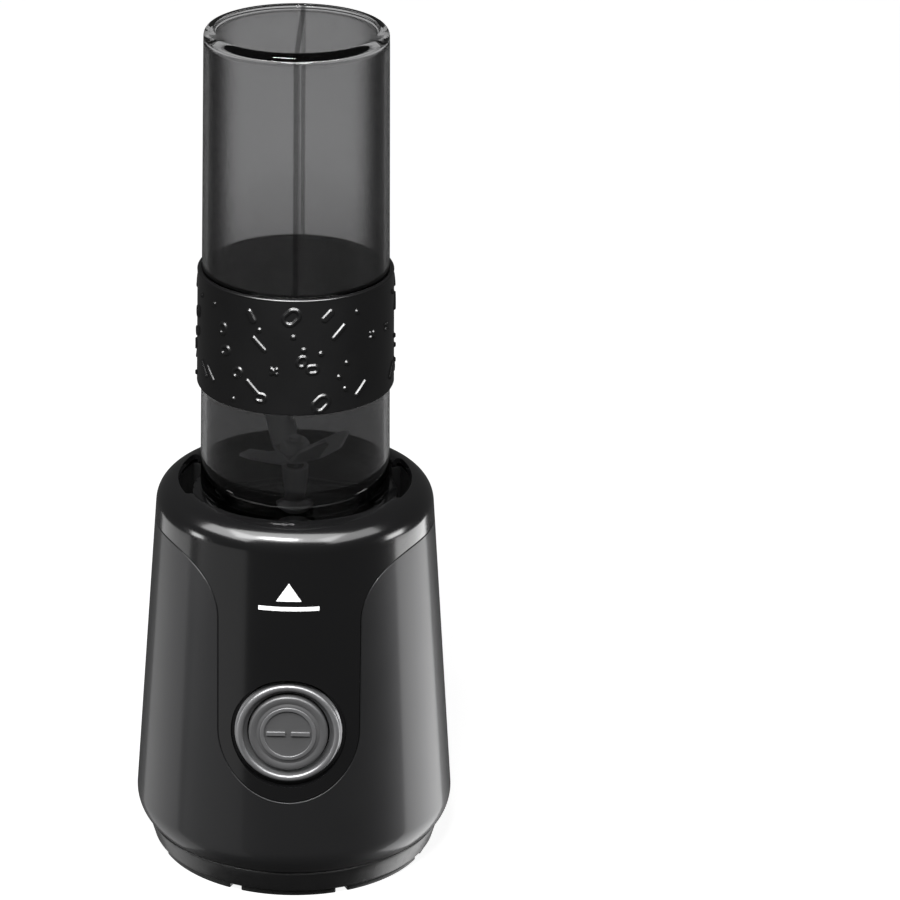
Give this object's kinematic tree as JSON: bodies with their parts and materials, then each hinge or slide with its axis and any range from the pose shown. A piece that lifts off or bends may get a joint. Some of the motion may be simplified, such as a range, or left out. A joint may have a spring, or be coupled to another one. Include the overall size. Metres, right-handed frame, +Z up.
{
  "type": "countertop blender",
  "caption": "Personal countertop blender: round tapered motor base with a front push button and an inverted drinking bottle with rubber sleeve, locked in by a screw-on blade unit.",
  "frame": {"origin": "on the vertical axis of base and bottle, at the surface the feet stand on", "axes": "+Z up along the axis, -Y towards the front with the push button, +X to the user's right"},
  "size_m": [0.1302, 0.1299, 0.348],
  "materials": {
    "gloss_black": "high-gloss black ABS",
    "satin_grey": "satin dark grey lacquered ABS",
    "black_plastic": "fine-grained black moulded plastic",
    "black_rubber": "matte black rubber",
    "sleeve_rubber": "matte black silicone with raised marks",
    "seal_rubber": "dark grey silicone",
    "zinc_steel": "zinc-plated steel",
    "bezel_grey": "satin grey plastic",
    "button_grey": "satin dark grey plastic",
    "symbol_grey": "satin grey plastic",
    "board_green": "green circuit board laminate",
    "mark_white": "white pad print",
    "natural_plastic": "natural acetal",
    "cast_aluminium": "cast aluminium",
    "core_steel": "laminated electrical steel",
    "copper_wire": "enamelled copper wire",
    "copper_bar": "turned copper",
    "brass": "pressed brass",
    "carbon": "carbon",
    "bronze": "sintered bronze",
    "shaft_steel": "ground steel",
    "stainless_steel": "polished stainless steel",
    "smoked_plastic": "smoked clear copolyester"
  },
  "bodies": {
    "base": {"main_housing": "gloss_black", "side_cover": "satin_grey", "bottom_cover": "black_plastic", "rubber_feet": "black_rubber", "housing_screws": "zinc_steel", "button_bezel": "bezel_grey", "button_spring": "zinc_steel", "power_switch": "black_plastic", "circuit_board": "board_green", "alignment_mark": "mark_white", "well_cup": "black_plastic", "interlock_spring": "zinc_steel", "interlock_switch": "black_plastic", "upper_motor_bracket": "cast_aluminium", "lower_motor_bracket": "cast_aluminium", "motor_dampers": "black_rubber", "motor_screws": "zinc_steel", "stator_core": "core_steel", "field_coils": "copper_wire", "brush_holders": "brass", "carbon_brushes": "carbon", "upper_bearing": "bronze", "lower_bearing": "bronze", "cord_gland": "black_rubber"},
    "push_button": {"button_cap": "button_grey", "button_symbol": "symbol_grey"},
    "interlock": {"interlock_pin": "natural_plastic"},
    "rotor": {"rotor_core": "core_steel", "rotor_windings": "copper_wire", "commutator": "copper_bar", "motor_shaft": "shaft_steel", "cooling_fan": "black_plastic", "drive_coupling": "black_rubber"},
    "spindle": {"spindle_bush": "bronze", "shaft_seal": "black_rubber"},
    "blade_set": {"blade_shaft": "stainless_steel", "blade_coupling": "black_rubber", "lower_blades": "stainless_steel", "upper_blades": "stainless_steel", "blade_nut": "stainless_steel"},
    "holder": {"blade_holder": "gloss_black", "spindle_post": "stainless_steel"},
    "gasket": {"bottle_gasket": "seal_rubber"},
    "bottle_unit": {"bottle": "smoked_plastic", "bottle_sleeve": "sleeve_rubber"}
  },
  "joints": [
    {"name": "button_press", "type": "slide", "parent": "base", "child": "push_button", "axis": [0, 0.9977, -0.0681], "range_m": [0, 0.003], "stiffness_N_per_m": 400, "deforming": ["button_spring"]},
    {"name": "motor_spin", "type": "hinge", "parent": "base", "child": "rotor", "pos_m": [0, 0, 0.07], "axis": [0, 0, 1], "continuous": true},
    {"name": "unit_lift", "type": "slide", "parent": "base", "child": "spindle", "axis": [0, 0, 1], "range_m": [0, 0.09]},
    {"name": "blade_spin", "type": "hinge", "parent": "spindle", "child": "blade_set", "pos_m": [0, 0, 0.16], "axis": [0, 0, 1], "continuous": true},
    {"name": "bottle_twist", "type": "hinge", "parent": "spindle", "child": "holder", "pos_m": [0, 0, 0.15], "axis": [0, 0, -1], "range_deg": [0, 25]},
    {"name": "interlock_press", "type": "slide", "parent": "base", "child": "interlock", "axis": [0, 0, -1], "range_m": [0, 0.0023], "stiffness_N_per_m": 200, "deforming": ["interlock_spring"]},
    {"name": "gasket_rise", "type": "slide", "parent": "holder", "child": "gasket", "axis": [0, 0, 1], "range_m": [0, 0.0061]},
    {"name": "bottle_unscrew", "type": "hinge", "parent": "gasket", "child": "bottle_unit", "pos_m": [0, 0, 0.2], "axis": [0, 0, 1], "range_deg": [0, 360]}
  ],
  "couplings": [
    {"joint": "blade_spin", "follows": "motor_spin", "ratio": 1},
    {"joint": "interlock_press", "follows": "bottle_twist", "m_per_rad": 0.005042},
    {"joint": "gasket_rise", "follows": "bottle_unscrew", "m_per_rad": 0.00095493}
  ]
}
